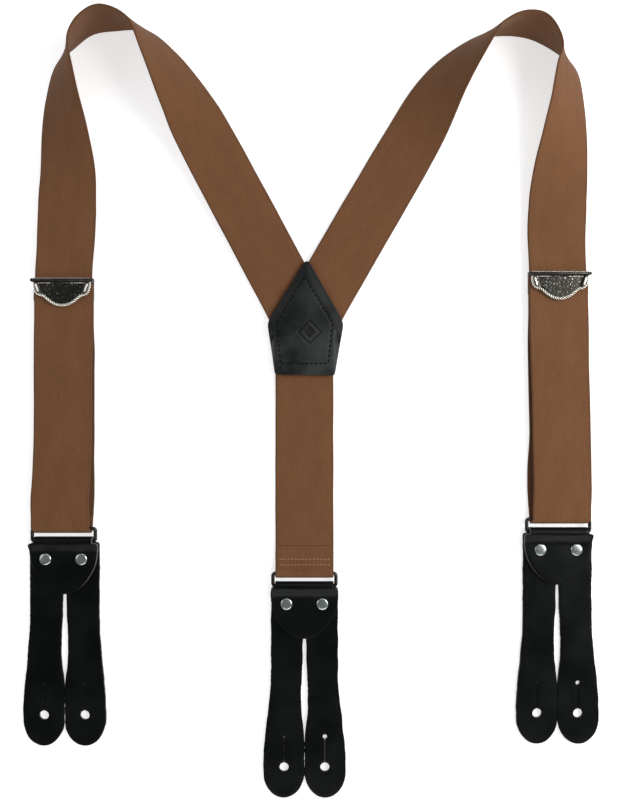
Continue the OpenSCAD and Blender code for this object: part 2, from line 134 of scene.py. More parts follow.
# ------------------------------------------------------------------ material helpers
class Shader:
    """A material under construction: thin helpers around its node tree."""

    def __init__(self, name, **sockets):
        self.material = bpy.data.materials.new(name)
        self.material.use_nodes = True
        self.tree = self.material.node_tree
        self.bsdf = self.tree.nodes["Principled BSDF"]
        for key, value in sockets.items():
            self.bsdf.inputs[key.replace("_", " ")].default_value = value

    def node(self, kind, **settings):
        made = self.tree.nodes.new(kind)
        for key, value in settings.items():
            setattr(made, key, value)
        return made

    def put(self, value, socket):
        if isinstance(value, (int, float)):
            socket.default_value = value
        elif isinstance(value, tuple):
            socket.default_value = (*value, 1) if len(value) == 3 else value
        else:
            self.tree.links.new(value, socket)

    def math(self, operation, a, b=0.0):
        made = self.node("ShaderNodeMath", operation=operation)
        for value, socket in zip((a, b), made.inputs):
            self.put(value, socket)
        return made.outputs[0]

    def coords(self, kind, scale=(1, 1, 1)):
        """Texture coordinates of one kind, stretched."""
        source = self.node("ShaderNodeTexCoord").outputs[kind]
        mapping = self.node("ShaderNodeMapping")
        mapping.inputs["Scale"].default_value = scale
        self.put(source, mapping.inputs["Vector"])
        return mapping.outputs[0]

    def noise(self, vector, scale=1.0, detail=2.0, rough=0.5):
        made = self.node("ShaderNodeTexNoise")
        self.put(vector, made.inputs["Vector"])
        made.inputs["Scale"].default_value = scale
        made.inputs["Detail"].default_value = detail
        made.inputs["Roughness"].default_value = rough
        return made.outputs["Fac"]

    def cells(self, vector, scale):
        made = self.node("ShaderNodeTexVoronoi", feature="F1")
        self.put(vector, made.inputs["Vector"])
        made.inputs["Scale"].default_value = scale
        return made.outputs["Distance"]

    def spread(self, value, low, high, to_low=0.0, to_high=1.0):
        made = self.node("ShaderNodeMapRange")
        for item, socket in zip((value, low, high, to_low, to_high), made.inputs):
            self.put(item, socket)
        return made.outputs[0]

    def mix(self, share, a, b):
        made = self.node("ShaderNodeMix", data_type="RGBA")
        self.put(share, made.inputs[0])
        self.put(a, made.inputs[6])
        self.put(b, made.inputs[7])
        return made.outputs[2]

    def bump(self, height, distance, strength):
        made = self.node("ShaderNodeBump")
        made.inputs["Strength"].default_value = strength
        made.inputs["Distance"].default_value = distance
        self.put(height, made.inputs["Height"])
        return made.outputs[0]

    def finish(self, colour, roughness=None, normal=None):
        self.put(colour, self.bsdf.inputs["Base Color"])
        if roughness is not None:
            self.put(roughness, self.bsdf.inputs["Roughness"])
        if normal is not None:
            self.put(normal, self.bsdf.inputs["Normal"])
        return self.material


def webbing_material(name, base, dark, light):
    """Woven elastic: UV is in centimetres, x across the webbing and y along it."""
    s = Shader(name, Specular_IOR_Level=0.1, Sheen_Weight=0.05, Sheen_Roughness=0.5)
    split = s.node("ShaderNodeSeparateXYZ")
    s.put(s.coords("UV"), split.inputs[0])
    across, along = split.outputs[0], split.outputs[1]
    warp = s.math("SINE", s.math("MULTIPLY", across, 2 * math.pi / 0.09))
    weft = s.math("SINE", s.math("MULTIPLY", along, 2 * math.pi / 0.11))
    weave = s.math("MULTIPLY", warp, weft)
    fuzz = s.noise(s.coords("UV", (14, 14, 1)), 1, 3, 0.6)
    streak = s.noise(s.coords("UV", (6, 1.6, 1)), 1, 3, 0.6)
    cloud = s.noise(s.coords("UV", (0.9, 0.3, 1)), 1, 2, 0.5)
    shade = s.math("ADD", s.math("MULTIPLY", streak, 0.25), s.math("MULTIPLY", fuzz, 0.7))
    shade = s.math("ADD", shade, s.math("MULTIPLY", cloud, 0.35))
    shade = s.math("ADD", shade, s.math("MULTIPLY", weave, 0.03))
    colour = s.mix(s.spread(shade, 0.42, 0.88), dark, base)
    speck = s.cells(s.coords("UV", (5, 5, 1)), 1)
    colour = s.mix(s.spread(speck, 0.10, 0.04, 0, 0.55), colour, light)
    edge = s.spread(s.math("ABSOLUTE", across), 1.72, 1.84)
    colour = s.mix(s.math("MULTIPLY", edge, 0.35), colour, tuple(0.6 * c for c in dark))
    height = s.math("ADD", s.math("MULTIPLY", weave, 0.4), s.math("MULTIPLY", fuzz, 1.4))
    return s.finish(colour, s.spread(fuzz, 0.3, 0.7, 0.78, 0.95), s.bump(height, 0.00016, 0.8))


def leather_material(name, base, worn_and_highlight, raw, rough, shine, grain=0.00008,
                     highlight_fade_y=None):
    """Finished leather: fine grain, faint creases and a rough cut edge."""
    s = Shader(name, Specular_IOR_Level=shine)
    place = s.coords("Object")
    pores = s.cells(place, 1100)
    creases = s.noise(place, 260, 4, 0.6)
    cloud = s.noise(place, 45, 3, 0.5)
    scuff = s.noise(s.coords("Object", (900, 160, 300)), 1, 3, 0.7)
    # rubbed mixes in the second colour. On the tabs it is random wear. On the patch, together with
    # its fade lighter towards the bottom, it is painted highlight on the dome.
    rubbed = s.spread(cloud, 0.35, 0.7)
    if highlight_fade_y:
        split = s.node("ShaderNodeSeparateXYZ")
        s.put(place, split.inputs[0])
        rubbed = s.math("MULTIPLY", rubbed, s.spread(split.outputs[1], *highlight_fade_y, 0.1, 1))
    colour = s.mix(rubbed, base, worn_and_highlight)
    colour = s.mix(s.spread(scuff, 0.68, 0.8, 0, 0.5), colour, tuple(2.2 * c for c in worn_and_highlight))
    cut = s.node("ShaderNodeAttribute", attribute_name="raw_edge").outputs["Fac"]
    frayed = s.math("MULTIPLY", cut, s.spread(s.noise(place, 1500, 2), 0.3, 0.6, 0.45, 1))
    colour = s.mix(frayed, colour, raw)
    roughness = s.math("ADD", s.spread(cloud, 0.3, 0.7, rough - 0.06, rough + 0.08),
                       s.math("MULTIPLY", cut, 0.3))
    height = s.math("ADD", s.math("MULTIPLY", pores, 0.8), s.math("MULTIPLY", creases, 1.6))
    return s.finish(colour, roughness, s.bump(height, grain, 0.7))


def thread_material(name, dark, light):
    """Twisted thread: fine fuzz over a slanted ply."""
    s = Shader(name, Specular_IOR_Level=0.12)
    place = s.coords("Object")
    ply = s.noise(s.coords("Object", (1800, 5000, 1800)), 1, 2)
    colour = s.mix(s.spread(ply, 0.35, 0.65), dark, light)
    fuzz = s.noise(place, 4000, 2)
    return s.finish(colour, s.spread(fuzz, 0.3, 0.7, 0.6, 0.85), s.bump(ply, 0.0001, 0.7))


def metal_material(name, base, dull, rough, scratch=0.5, pits=0.0, metallic=1.0):
    """Plated metal: cloudy polish, fine scratches and a little pitting."""
    s = Shader(name, Metallic=metallic)
    place = s.coords("Object")
    cloud = s.noise(place, 320, 3, 0.6)
    lines = s.noise(s.coords("Object", (300, 2600, 900)), 1, 4, 0.7)
    dots = s.cells(place, 700)
    colour = s.mix(s.spread(cloud, 0.35, 0.65), dull, base)
    colour = s.mix(s.spread(dots, 0.25, 0.05, 0, pits), colour, tuple(0.3 * c for c in dull))
    roughness = s.math("ADD", s.spread(cloud, 0.3, 0.7, rough + 0.1, rough - 0.05),
                       s.math("MULTIPLY", s.spread(lines, 0.5, 0.75), 0.15))
    height = s.math("ADD", s.math("MULTIPLY", lines, scratch), s.math("MULTIPLY", cloud, 0.5))
    return s.finish(colour, roughness, s.bump(height, 0.00003, 0.6))


def engraved_material(name, base, bright):
    """Dark plate with a fine engraved grain that glints, and a few long scratches."""
    s = Shader(name, Metallic=1.0)
    place = s.coords("Object")
    grain = s.noise(place, 900, 3, 0.7)
    chips = s.cells(place, 650)
    lines = s.noise(s.coords("Object", (700, 60, 300)), 1, 2, 0.5)
    rubbed = s.math("MULTIPLY", s.spread(grain, 0.5, 0.7), s.spread(chips, 0.4, 0.15))
    rubbed = s.math("MAXIMUM", rubbed, s.spread(lines, 0.7, 0.74, 0, 0.8))
    colour = s.mix(rubbed, base, bright)
    height = s.math("ADD", s.math("MULTIPLY", grain, 1.0), s.math("MULTIPLY", chips, 0.8))
    return s.finish(colour, s.spread(grain, 0.3, 0.7, 0.42, 0.3), s.bump(height, 0.0002, 0.7))


def floor_material():
    """Pale matt light table."""
    s = Shader("floor", Specular_IOR_Level=0.1, Roughness=0.9, Emission_Strength=0.62)
    s.bsdf.inputs["Emission Color"].default_value = (1, 1, 1, 1)
    cloud = s.noise(s.coords("Object"), 6, 3, 0.5)
    return s.finish(s.mix(cloud, (0.62, 0.62, 0.62), (0.66, 0.66, 0.66)))


# ------------------------------------------------------------------ mesh helpers
def make_piece(name, points, faces, material, uvs=None, raw=None, sharp=40):
    """A smooth piece from points in millimetres, with its faces turned outwards."""
    mesh = bpy.data.meshes.new(name)
    mesh.from_pydata([tuple(c * MM for c in p) for p in points], [], faces)
    if raw is not None:
        layer = mesh.attributes.new("raw_edge", "FLOAT", "POINT")
        layer.data.foreach_set("value", raw)
    if uvs is not None:
        layer = mesh.uv_layers.new(name="UVMap")
        for loop in mesh.loops:
            layer.data[loop.index].uv = uvs[loop.vertex_index]
    tidy = bmesh.new()
    tidy.from_mesh(mesh)
    bmesh.ops.recalc_face_normals(tidy, faces=tidy.faces)
    tidy.to_mesh(mesh)
    tidy.free()
    mesh.polygons.foreach_set("use_smooth", [True] * len(mesh.polygons))
    mesh.set_sharp_from_angle(angle=math.radians(sharp))
    mesh.materials.append(material)
    obj = bpy.data.objects.new(name, mesh)
    bpy.context.scene.collection.objects.link(obj)
    return obj


class Soup:
    """Points and faces gathered for one piece."""

    def __init__(self):
        self.points, self.faces = [], []

    def loft(self, sections, closed=False):
        """Walls between rings of points, with caps unless the row of rings is closed."""
        n, base = len(sections[0]), len(self.points)
        for ring in sections:
            self.points += [tuple(p) for p in ring]
        rows = len(sections)
        for i in range(rows if closed else rows - 1):
            for j in range(n):
                a, b = base + i * n, base + (i + 1) % rows * n
                k = (j + 1) % n
                self.faces.append((a + j, a + k, b + k, b + j))
        if not closed:
            self.faces.append(tuple(base + j for j in reversed(range(n))))
            self.faces.append(tuple(base + (rows - 1) * n + j for j in range(n)))

    def tube(self, path, radius, sides=8, closed=False):
        """A round rod along a path; radius is a number or one for each point."""
        self.loft(list(tube_rings(path, radius, sides, closed)), closed)

    def lathe(self, centre, profile, sides=40):
        """Turned about the upright line through centre; profile is [radius, height]."""
        rings = []
        for r, h in profile:
            rings.append([centre + Vector((r * math.cos(2 * math.pi * j / sides),
                                           r * math.sin(2 * math.pi * j / sides), h))
                          for j in range(sides)])
        self.loft(rings)

    def piece(self, name, material, slot, sharp=40):
        return make_piece(name, self.points, self.faces, material, sharp=sharp)


def tube_rings(path, radius, sides, closed):
    path = [Vector(p) for p in path]
    count = len(path)
    up = None
    for i, p in enumerate(path):
        if closed:
            way = path[(i + 1) % count] - path[i - 1]
        else:
            way = path[min(count - 1, i + 1)] - path[max(0, i - 1)]
        way.normalize()
        if up is None:
            up = Vector((0, 0, 1)) if abs(way.z) < 0.9 else Vector((1, 0, 0))
        up = (up - way * up.dot(way)).normalized()
        out = way.cross(up)
        r = radius if isinstance(radius, (int, float)) else radius[i]
        yield [p + (out * math.cos(2 * math.pi * j / sides)
                    + up * math.sin(2 * math.pi * j / sides)) * r for j in range(sides)]


def smooth(t):
    t = min(1.0, max(0.0, t))
    return t * t * (3 - 2 * t)


def rise(t, low, high):
    return smooth((t - low) / (high - low))


def resample(points, step, closed=True):
    """The same line with a point about every step."""
    points = [Vector(p) for p in points]
    pairs = list(zip(points, points[1:] + points[:1] if closed else points[1:]))
    result = []
    for a, b in pairs:
        n = max(1, round((b - a).length / step))
        result += [a.lerp(b, k / n) for k in range(n)]
    return result if closed else result + [points[-1]]


def even_path(points, step):
    """An open line cut into equal steps."""
    points = [Vector(p) for p in points]
    marks = [0.0]
    for a, b in zip(points, points[1:]):
        marks.append(marks[-1] + (b - a).length)
    n = max(2, round(marks[-1] / step))
    result, k = [], 0
    for i in range(n + 1):
        d = marks[-1] * i / n
        while k < len(marks) - 2 and marks[k + 1] < d:
            k += 1
        span = marks[k + 1] - marks[k]
        result.append(points[k].lerp(points[k + 1], (d - marks[k]) / span if span else 0))
    return result


def curve_through(points, steps=8):
    """A smooth open line through points of any dimension."""
    result = []
    for k in range(len(points) - 1):
        four = [route_point(points, k + j) for j in (-1, 0, 1, 2)]
        result += [tuple(blend4(*(p[d] for p in four), t / steps)
                         for d in range(len(points[0]))) for t in range(steps)]
    return result + [tuple(points[-1])]


def blend4(a, b, c, d, t):
    return 0.5 * (2 * b + (c - a) * t + (2 * a - 5 * b + 4 * c - d) * t * t
                  + (3 * b - a - 3 * c + d) * t ** 3)


def slope4(a, b, c, d, t):
    return 0.5 * ((c - a) + 2 * (2 * a - 5 * b + 4 * c - d) * t
                  + 3 * (3 * b - a - 3 * c + d) * t * t)


def route_point(route, i):
    if i < 0:
        return [2 * a - b for a, b in zip(route[0], route[1])]
    if i >= len(route):
        return [2 * a - b for a, b in zip(route[-1], route[-2])]
    return route[i]


# ------------------------------------------------------------------ webbing
def web_section():
    """Half-round selvedges, a shallow groove inside each and a flat middle: [across, up]."""
    half = [(0, 0.8), (4, 0.8), (8, 0.8), (12, 0.8), (15, 0.79), (16.4, 0.78),
            (16.9, 0.68), (17.4, 0.78), (18.1, 0.77), (18.6, 0.6), (18.9, 0.32)]
    top = [(-a, u) for a, u in reversed(half[1:])] + half
    return top + [(19, 0)] + [(a, -u) for a, u in reversed(top)] + [(-19, 0)]


WEB_SECTION = web_section()


def web_piece(name, stations, material, start=0.0):
    """Webbing through stations of (middle, across, up); returns it and the length so far."""
    points, uvs, faces = [], [], []
    n = len(WEB_SECTION)
    run, last = start, None
    for middle, across, up in stations:
        if last is not None:
            run += (middle - last).length
        last = middle
        for a, u in WEB_SECTION:
            where = Vector((a * 0.09, run * 0.05, 3.7))
            wave = 0.10 * noise.noise(where) * (abs(a) / 19 + 0.3)
            drift = 0.22 * noise.noise(Vector((1.7, run * 0.045, math.copysign(5, a))))
            grown = a + drift * smooth(abs(a) / 19)
            points.append(middle + across * grown + up * (u * (1 - abs(wave)) + wave * 0.5))
            uvs.append((a / 10, run / 10))
    rows = len(stations)
    for i in range(rows - 1):
        for j in range(n):
            k = (j + 1) % n
            faces.append((i * n + j, i * n + k, (i + 1) * n + k, (i + 1) * n + j))
    faces.append(tuple(reversed(range(n))))
    faces.append(tuple((rows - 1) * n + j for j in range(n)))
    return make_piece(name, points, faces, material, uvs=uvs, sharp=50), run


def route_stations(side, start, stop, steps=10):
    """Stations of a shoulder strap between two route points."""
    route = ROUTES[side]
    result = []
    for i in range(round((stop - start) * steps) + 1):
        s = start + i / steps
        k = min(len(route) - 2, int(s))
        four = [route_point(route, k + j) for j in (-1, 0, 1, 2)]
        x, y, lift, tilt = (blend4(*(p[d] for p in four), s - k) for d in range(4))
        dx, dy = (slope4(*(p[d] for p in four), s - k) for d in range(2))
        size = math.hypot(dx, dy)
        out = Vector((dy, -dx)) / size * SIDE[side]
        if s > ARCH_END - 2:
            x += sway(side, y)
        c, w = math.cos(math.radians(tilt)), math.sin(math.radians(tilt))
        height = max(0, lift) + WEB_T / 2 * c + WEB_W / 2 * w
        result.append((Vector((x, y, height)), Vector((out.x * c, out.y * c, -w)),
                       Vector((out.x * w, out.y * w, c))))
    return result


def side_stations(x, line, shift=lambda y: 0, spread=lambda y: 1):
    """Stations of webbing seen from the side, as points [y, z] of its middle."""
    result = []
    for i, (y, z) in enumerate(line):
        a, b = line[max(0, i - 1)], line[min(len(line) - 1, i + 1)]
        way = Vector((0, b[0] - a[0], b[1] - a[1])).normalized()
        result.append((Vector((x + shift(y), y, z)), Vector((spread(y), 0, 0)),
                       Vector((1, 0, 0)).cross(way)))
    return result


def line_between(a, b, step=2.0):
    n = max(1, round(math.dist(a, b) / step))
    return [(a[0] + (b[0] - a[0]) * k / n, a[1] + (b[1] - a[1]) * k / n) for k in range(n + 1)]


def arc(centre, radius, start, stop, steps=14):
    """Points [y, z] of an arc; angles in degrees from +y towards +z."""
    result = []
    for k in range(steps + 1):
        angle = math.radians(start + (stop - start) * k / steps)
        result.append((centre[0] + radius * math.cos(angle), centre[1] + radius * math.sin(angle)))
    return result


def cut_at_middle(obj, side):
    """Mitres a shoulder strap on the middle line, under the patch."""
    cut = bmesh.new()
    cut.from_mesh(obj.data)
    geometry = cut.verts[:] + cut.edges[:] + cut.faces[:]
    done = bmesh.ops.bisect_plane(cut, geom=geometry, plane_co=(-SIDE[side] * 0.0001, 0, 0),
                                  plane_no=(SIDE[side], 0, 0), clear_outer=True)
    rim = [e for e in done["geom_cut"] if isinstance(e, bmesh.types.BMEdge)]
    bmesh.ops.edgenet_fill(cut, edges=rim)
    bmesh.ops.recalc_face_normals(cut, faces=cut.faces)
    cut.to_mesh(obj.data)
    cut.free()


FRONT_MIDDLE = FRONT_Z + WEB_T / 2
RETURN_MIDDLE = RETURN_Z + WEB_T / 2

# How far the front run lies to the right of the straight line, as (y, shift)
SWAY = {
    "left": [(-134, -1.5), (-118, -2.3), (-103, -1.2), (-80, 0), (-30, 0),
             (0, 0.6), (20, 0.5), (33, 0.6), (47, 1.7), (67, 2.6), (86, 3), (105, 2.1),
             (130, 0.5), (145, 0)],
    "right": [(-128, 1.5), (-112, 2.5), (-64, 1.6), (-25, 0.5), (14, -0.3),
              (27, -0.5), (37, -0.9), (47, -1.5), (57, -1.8), (67, -1.3), (86, -0.4),
              (105, -1), (125, -1.4), (145, -1), (160, 0)],
}


def sway(side, y):
    """The shift at y, rounded off where the line through SWAY bends."""
    ys, shifts = zip(*SWAY[side])
    return sum(float(np.interp(y + d, ys, shifts)) for d in (-6, -3, 0, 3, 6)) / 5


def build_shoulder(side, web):
    """The strap from the patch over the shoulder to the top of its straight front run."""
    last = len(ROUTES[side]) - 1
    back, run = web_piece(f"{side}_shoulder_webbing", route_stations(side, 0, ARCH_END),
                          web)
    cut_at_middle(back, side)
    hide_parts(f"{side}_strap")
    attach(back, "harness")

    front, run = web_piece(f"{side}_chest_webbing", route_stations(side, ARCH_END, last),
                           web, run)
    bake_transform(front)
    return run


def build_front_run(side, web, run):
    """The straight run down to the ring, through the adjuster."""
    x, bar_y = BARS[side]
    stub_y = bar_y + STUB
    pivot_y = PIVOT_Y[side]

    def clamped(y):
        """Pinched above the adjuster, pushed wide below it."""
        above = rise(y, pivot_y - 1, pivot_y + 2) * (1 - rise(y, pivot_y + 10, RUN_TOP))
        below = (1 - rise(y, pivot_y - 4, pivot_y - 1)) * rise(y, pivot_y - 70, pivot_y - 14)
        return above, below

    def spread(y):
        above, below = clamped(y)
        return 1 - 0.018 * above + 0.018 * below

    stations = side_stations(x, line_between((RUN_TOP, FRONT_MIDDLE), (stub_y, FRONT_MIDDLE)),
                             lambda y: sway(side, y), spread)
    front_run, run = web_piece(f"{side}_front_webbing", stations, web, run)
    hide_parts(f"{side}_front_run")
    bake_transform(front_run)
    return run


def build_ring_webbing(side, web, run):
    """The turn round the ring's upper bar, pulled aside above it and centred below."""
    x, bar_y = BARS[side]
    stub_y = bar_y + STUB
    line = line_between((stub_y, FRONT_MIDDLE), (bar_y, FRONT_MIDDLE), 1.0)
    line += arc((bar_y, BAR_Z), TURN_IN + WEB_T / 2, 90, 270)[1:-1]
    line += line_between((bar_y, RETURN_MIDDLE), (stub_y, RETURN_MIDDLE), 1.0)
    foot = sway(side, stub_y)

    def settle(y):
        return foot * (0.25 + 0.75 * rise(y, bar_y - 2.1, bar_y + 0.4))

    over_bar = sum(1 for _, z in line if z > BAR_Z)
    stations = side_stations(x, line[:over_bar + 1], settle)[:-1]
    stations += side_stations(x, line, lambda y: 0.25 * foot * (1 - rise(y, bar_y, stub_y)),
                              lambda y: 0.99)[over_bar:]
    turn, run = web_piece(f"{side}_ring_webbing", stations, web, run)
    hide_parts(f"{side}_ring_turn")
    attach(turn, f"{side}_turn")
    return run


def build_return(side, inside, run):
    """The way back up behind the front run, sewn round the adjuster's lower bar."""
    x, bar_y = BARS[side]
    stub_y = bar_y + STUB
    end_y = PIVOT_Y[side] - 26

    def aside(y):
        tucked = 0.75 * sway(side, y) * rise(y, stub_y + 22, stub_y + 50)
        peek = 0.5 * SIDE[side] * rise(y, stub_y, stub_y + 12)
        return (tucked + peek) * (1 - rise(y, end_y - 25, end_y))

    line = line_between((stub_y, RETURN_MIDDLE), (end_y, RETURN_MIDDLE), 2.5)
    stations = side_stations(x, line, aside)
    # inside is the darker webbing: painted shade for the front run's shadow over the return and its
    # wrapped end.
    way_back, run = web_piece(f"{side}_return_webbing", stations, inside, run)
    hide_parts(f"{side}_return_run")
    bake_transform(way_back)

    wrap = 1.35
    fold_y, fold_z = PIVOT_Y[side] - 11.675, RETURN_MIDDLE + wrap
    line = line_between((end_y, RETURN_MIDDLE), (fold_y, RETURN_MIDDLE), 1.2)
    line += arc((fold_y, fold_z), wrap, 270, 450)[1:-1]
    line += line_between((fold_y, fold_z + wrap), (end_y + 0.5, fold_z + wrap), 1.2)
    end, _ = web_piece(f"{side}_wrapped_webbing", side_stations(x, line), inside,
                       run)
    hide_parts(f"{side}_return_end")
    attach(end, f"{side}_adjuster")


def build_back_strap(web):
    """The back strap and its sewn end around the ring."""
    x, bar_y = BARS["back"]
    under = [(-14, 1.5), (-36, 1.5), (-58, 0.15), (-97, 0.1), (-136, 0.15), (-146, 1.8)]
    line = [(y, z + WEB_T / 2) for y, z in curve_through(under, 9)]
    strap, run = web_piece("back_webbing", side_stations(x, line), web, start=40)
    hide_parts("back_strap")
    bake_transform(strap)

    radius = TURN_IN + WEB_T / 2
    line = line_between((bar_y + 17.6, 2.65), (bar_y + 7, 2.65), 1.0)
    rest = [(bar_y + 7, 2.65), (bar_y + 5, 3.0), (bar_y + 3.2, 4.3)]
    line += curve_through(rest, 4)[1:]
    line += arc((bar_y, BAR_Z), radius, 40, 270, 20)
    tail = [(bar_y, BAR_Z - radius), (bar_y + 2.2, 1.25), (bar_y + 4.6, 0.86)]
    line += curve_through(tail, 4)[1:]
    line += line_between((bar_y + 4.6, 0.86), (bar_y + 13.7, 0.86), 1.0)[1:]
    end, _ = web_piece("back_ring_webbing", side_stations(x, line), web, run)
    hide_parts("back_ring_turn")
    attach(end, "back_end")


# ------------------------------------------------------------------ sheets of leather
def outline_area(loop):
    return sum(a.x * b.y - b.x * a.y for a, b in zip(loop, loop[1:] + loop[:1])) / 2


def oriented(loop, around):
    """Outer loops run anticlockwise and holes clockwise, so leather is on the left."""
    loop = [Vector((p[0], p[1])) for p in loop]
    return loop if (outline_area(loop) > 0) == around else loop[::-1]


def inset(loop, distance):
    """The loop moved into the leather."""
    result = []
    for i, p in enumerate(loop):
        a = (p - loop[i - 1]).normalized()
        b = (loop[(i + 1) % len(loop)] - p).normalized()
        way = (a + b).normalized() if (a + b).length > 1e-6 else a
        out = Vector((-way.y, way.x))
        reach = 1 / max(0.6, math.sqrt(max(0.0, (1 + a.dot(b)) / 2)))
        result.append(p + out * distance * reach)
    return result


def inside(loops, where):
    """For each point, whether it lies in the leather."""
    starts = np.array([tuple(p) for loop in loops for p in loop])
    stops = np.array([tuple(p) for loop in loops for p in loop[1:] + loop[:1]])
    spots = np.array(where, float).reshape(-1, 2)
    x, y = spots[:, :1], spots[:, 1:]
    crosses = (starts[:, 1] > y) != (stops[:, 1] > y)
    rise_y = stops[:, 1] - starts[:, 1]
    rise_y = np.where(rise_y == 0, 1e-12, rise_y)
    at = (stops[:, 0] - starts[:, 0]) * (y - starts[:, 1]) / rise_y + starts[:, 0]
    return (crosses & (x < at)).sum(1) % 2 == 1


def grid_over(points, spacing):
    """Staggered rows of spots over the points' box, off any round number."""
    low = [min(p[d] for p in points) for d in (0, 1)]
    high = [max(p[d] for p in points) for d in (0, 1)]
    rows = int((high[1] - low[1]) / spacing)
    columns = int((high[0] - low[0]) / spacing)
    return [(low[0] + (i + 0.5 * (j % 2)) * spacing + 0.013, low[1] + j * spacing + 0.017)
            for j in range(rows + 1) for i in range(columns + 1)]


def fill(loops, spacing):
    """Points over the leather, the loops' own first, and triangles between them."""
    points = [p for loop in loops for p in loop]
    edges, base = [], 0
    for loop in loops:
        edges += [(base + i, base + (i + 1) % len(loop)) for i in range(len(loop))]
        base += len(loop)
    tree = KDTree(len(points))
    for i, p in enumerate(points):
        tree.insert((p.x, p.y, 0), i)
    tree.balance()
    spots = grid_over(points, spacing)
    keep = inside(loops, spots)
    for ok, (x, y) in zip(keep, spots):
        if ok and tree.find((x, y, 0))[2] > 0.55 * spacing:
            points.append(Vector((x, y)))
    out = delaunay_2d_cdt(points, edges, [], 0, 1e-7)
    source = [o[0] for o in out[3]]
    centres = [sum((out[0][i] for i in f), Vector((0, 0))) / 3 for f in out[2]]
    good = inside(loops, [tuple(c) for c in centres])
    return points, [tuple(source[i] for i in f) for ok, f in zip(good, out[2]) if ok]


def sheet_piece(name, loops, place, thickness, material, spacing=2.0, rounding=0.45):
    """A sheet with rounded rims. place(x, y, n) gives the point n above its under face."""
    loops = [oriented(loop, k == 0) for k, loop in enumerate(loops)]
    points, faces, raw = [], [], []
    inner = [inset(loop, rounding) for loop in loops]
    flat, triangles = fill(inner, spacing)
    rim = [(rounding * (1 - math.cos(math.radians(a))), rounding * (1 - math.sin(math.radians(a))))
           for a in (60, 30, 0)]
    levels = [(off, thickness - drop) for off, drop in rim]
    levels += [(off, drop) for off, drop in reversed(rim)]
    count = len(flat)
    for level in (thickness, 0.0):
        points += [place(p.x, p.y, level) for p in flat]
    faces += [t for t in triangles] + [tuple(i + count for i in reversed(t)) for t in triangles]
    raw += [0.0] * (2 * count)
    base = 0
    for loop in loops:
        n = len(loop)
        rings = [[base + i for i in range(n)]]
        for off, level in levels:
            rings.append(list(range(len(points), len(points) + n)))
            points += [place(p.x, p.y, level) for p in inset(loop, off)]
            raw += [0.25 if off > 0.2 * rounding else 1.0] * n
        rings.append([count + base + i for i in range(n)])
        for a, b in zip(rings, rings[1:]):
            faces += [(a[i], b[i], b[(i + 1) % n], a[(i + 1) % n]) for i in range(n)]
        base += n
    return make_piece(name, points, faces, material, raw=raw, sharp=60)


# ------------------------------------------------------------------ tabs
TAB = {"half": 22.1, "ear": 26.9, "length": 138.6, "neck": 18.9, "ear_long": 17}
TAB_HALF = {"left": 22.6, "right": 22.4, "back": 21.9}
TAB_CUT = {"left": 4.8, "right": 0, "back": 0}   # how much shorter the left tab is
NICK_R = {"left": (0.35, 0.35), "right": (0.35, 1.4), "back": (0.35, 1.5)}
FOLD = math.pi * (TURN_IN + HIDE_T / 2)          # leather used up by the fold
FLAP_TIP, FLAP_ROUND = 34.5, 6
RIVET_V, RIVET_X = 11.7, 11.65
HOLE_V, HOLE_X, HOLE_R = 118.7, 13.3, 3.0
NICK_V = 98.9
SLOT_HALF = 0.95
SLOT_V = (35.4, 77, 103.6)                       # top, widest and lowest part of the slot
FLARE_V = (56, 117)                              # where the sides run out to the ears


def down(v, cut):
    """Where a feature lies on a tab that is cut shorter between slot and ears."""
    return v - cut * min(1, max(0, (v - SLOT_V[0]) / (FLARE_V[0] - SLOT_V[0])))


def side_x(v, half):
    return half + (TAB["ear"] - half) * rise(v, *FLARE_V)


def slot_x(v):
    top, widest, low = SLOT_V
    if v < widest:
        return SLOT_HALF + 1.25 * rise(v, top, widest)
    return SLOT_HALF + 1.25 - 2.15 * rise(v, widest, low)


def flap_x(v):
    t = max(0.0, (v - FLAP_ROUND) / (FLAP_TIP - FLAP_ROUND))
    return TAB["half"] * max(0.0, 1 - t * t) ** 0.55


def tab_loops(side):
    """The cut leather laid flat: s runs up from the ears, over the fold and along the flap."""
    neck, half, cut, ear_r = TAB["neck"], TAB_HALF[side], TAB_CUT[side], TAB["ear"] / 2
    ear_long = TAB["ear_long"]
    ear_v = TAB["length"] - cut - ear_long
    shoulder = [(half, 2.9), (half - 0.3, 1.9), (half - 1.1, 1.3), (half - 2.2, 1.05),
                (neck + 0.1, 1.0), (neck, 0.3)]
    right = [(0.01, FOLD + FLAP_TIP)]
    turn = np.linspace(0.06, math.pi / 2, 40)
    right += [(flap_x(v), FOLD + v) for v in
              FLAP_ROUND + (FLAP_TIP - FLAP_ROUND) * np.cos(turn)]
    right += [(px, FOLD + v) for px, v in shoulder]
    right += [(px, -v) for px, v in reversed(shoulder)]
    right += [(side_x(v, half), -down(v, cut)) for v in np.linspace(8, FLARE_V[1], 30)]
    right += [(ear_r + ear_r * math.cos(math.radians(a)),
               -ear_v + ear_long * math.sin(math.radians(a))) for a in range(0, -176, -5)]
    right += [(slot_x(v), -down(v, cut)) for v in np.linspace(122, 37, 44)]
    right += [(SLOT_HALF * math.sin(math.radians(a)),
               SLOT_HALF * math.cos(math.radians(a)) - SLOT_V[0]) for a in (90, 60, 30, 0)]
    loop = right + [(-px, s) for px, s in reversed(right[1:-1])]
    seed = BARS[side][0]
    loop = [roughly_cut(p, seed) for p in resample([(px, s, 0) for px, s in loop], 1.3)]
    return [loop] + [button_hole(sign, nick, cut, seed)
                     for sign, nick in zip((-1, 1), NICK_R[side])]


